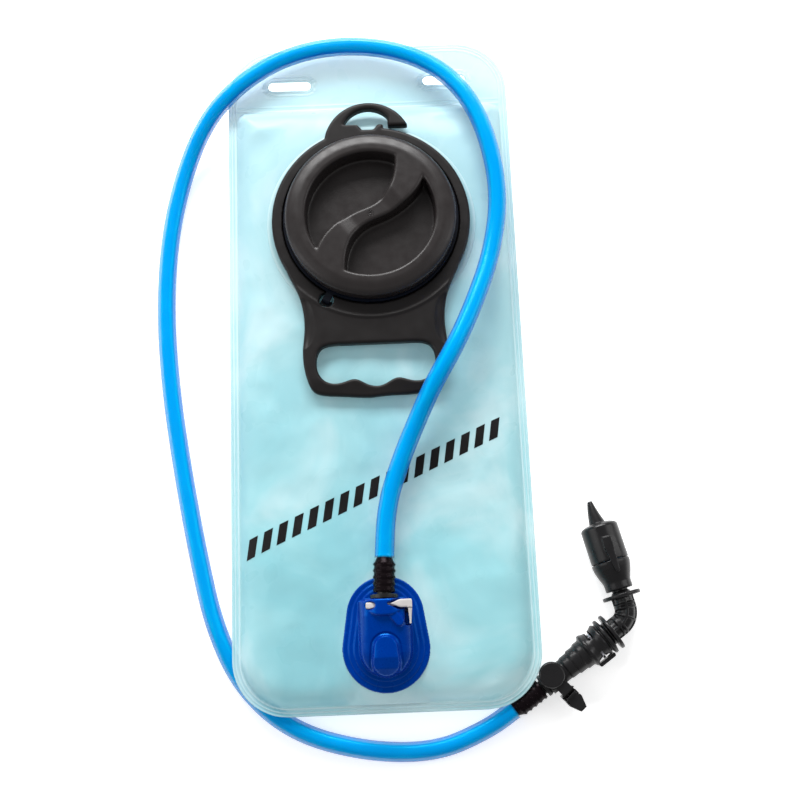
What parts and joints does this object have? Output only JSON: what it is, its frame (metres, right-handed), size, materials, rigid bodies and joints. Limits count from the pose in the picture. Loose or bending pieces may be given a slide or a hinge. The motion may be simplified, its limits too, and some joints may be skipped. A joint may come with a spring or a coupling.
{
  "type": "hydration bladder",
  "caption": "Flat soft water reservoir with a wide screw cap in a handle, hang slots, and a long drinking hose that ends in a swivelling elbow, a bite valve and its dust cover.",
  "frame": {"origin": "on the surface it lies on, under the middle of the bag", "axes": "+X to the bag's right seen from its front, +Y up the bag towards the hang slots, +Z out of its front"},
  "size_m": [0.2788, 0.4396, 0.0519],
  "materials": {
    "film": "clear gloss film, tinted aqua",
    "charcoal_plastic": "fine satin",
    "tether_plastic": "satin, flexible",
    "blue_plastic": "satin gloss",
    "grey_plastic": "satin",
    "hose_plastic": "clear gloss, tinted azure",
    "black_plastic": "satin",
    "seal_rubber": "smooth",
    "bite_silicone": "soft matt silicone",
    "spring_steel": "drawn wire"
  },
  "bodies": {
    "bladder": {"bag_front_film": "film", "bag_rear_film": "film", "fill_neck": "film", "handle_collar": "charcoal_plastic", "tether_strap": "tether_plastic", "port_base": "blue_plastic", "poppet_spring": "spring_steel", "port_plug": "black_plastic", "plug_o_ring": "seal_rubber", "release_spring": "spring_steel", "drinking_hose": "hose_plastic", "hose_coupling": "black_plastic", "button_spring": "spring_steel", "clip_collar": "black_plastic", "clip_stud": "black_plastic"},
    "cap_lift_ring": {"tether_ring": "tether_plastic"},
    "cap": {"screw_cap": "charcoal_plastic", "cap_gasket": "seal_rubber"},
    "poppet": {"port_poppet": "blue_plastic", "poppet_seal": "seal_rubber"},
    "release": {"release_clip": "grey_plastic"},
    "button": {"coupling_button": "black_plastic", "latch_plate": "spring_steel"},
    "elbow": {"elbow": "black_plastic", "elbow_o_ring": "seal_rubber", "valve_o_ring": "seal_rubber"},
    "valve": {"valve_body": "black_plastic", "bite_valve": "bite_silicone"},
    "cover": {"dust_cover": "black_plastic"},
    "clip_base": {"clip_lower_jaw": "black_plastic", "jaw_pin": "spring_steel", "jaw_spring": "spring_steel"},
    "clip_jaw": {"clip_upper_jaw": "black_plastic"}
  },
  "joints": [
    {"name": "cap_lift", "type": "slide", "parent": "bladder", "child": "cap_lift_ring", "axis": [0, 0, 1], "range_m": [0, 0.0122], "deforming": ["tether_strap"]},
    {"name": "cap_turn", "type": "hinge", "parent": "cap_lift_ring", "child": "cap", "pos_m": [0, 0.082, 0.031], "axis": [0, 0, 1], "range_deg": [0, 360]},
    {"name": "poppet_travel", "type": "slide", "parent": "bladder", "child": "poppet", "axis": [0, -1, 0], "range_m": [0, 0.0015], "stiffness_N_per_m": 300, "springref_m": -0.001, "deforming": ["poppet_spring"]},
    {"name": "release_press", "type": "slide", "parent": "bladder", "child": "release", "axis": [-1, 0, 0], "range_m": [0, 0.0015], "stiffness_N_per_m": 300, "springref_m": -0.001, "deforming": ["release_spring"]},
    {"name": "button_press", "type": "slide", "parent": "bladder", "child": "button", "axis": [-0.5807, 0.8141, 0], "range_m": [0, 0.0016], "stiffness_N_per_m": 300, "springref_m": -0.001, "deforming": ["button_spring"]},
    {"name": "elbow_swivel", "type": "hinge", "parent": "bladder", "child": "elbow", "pos_m": [0.11973, -0.17084, 0.01119], "axis": [0.8121, 0.5793, 0.0698], "continuous": true},
    {"name": "valve_swivel", "type": "hinge", "parent": "elbow", "child": "valve", "pos_m": [0.13351, -0.13942, 0.01243], "axis": [-0.2419, 0.9701, -0.0175], "continuous": true},
    {"name": "cover_pull", "type": "slide", "parent": "valve", "child": "cover", "axis": [-0.2419, 0.9701, -0.0175], "range_m": [0, 0.025]},
    {"name": "clip_swivel", "type": "hinge", "parent": "bladder", "child": "clip_base", "pos_m": [0.0916, -0.1876, 0.0167], "axis": [0, 0, 1], "range_deg": [-24, 12]},
    {"name": "clip_open", "type": "hinge", "parent": "clip_base", "child": "clip_jaw", "pos_m": [0.10257, -0.19979, 0.0109], "axis": [-0.7431, -0.6691, 0], "range_deg": [0, 14], "stiffness_Nm_per_rad": 0.02, "springref_deg": -14.32, "deforming": ["jaw_spring"]}
  ],
  "couplings": [
    {"joint": "cap_lift", "follows": "cap_turn", "m_per_rad": 0.0019099}
  ]
}
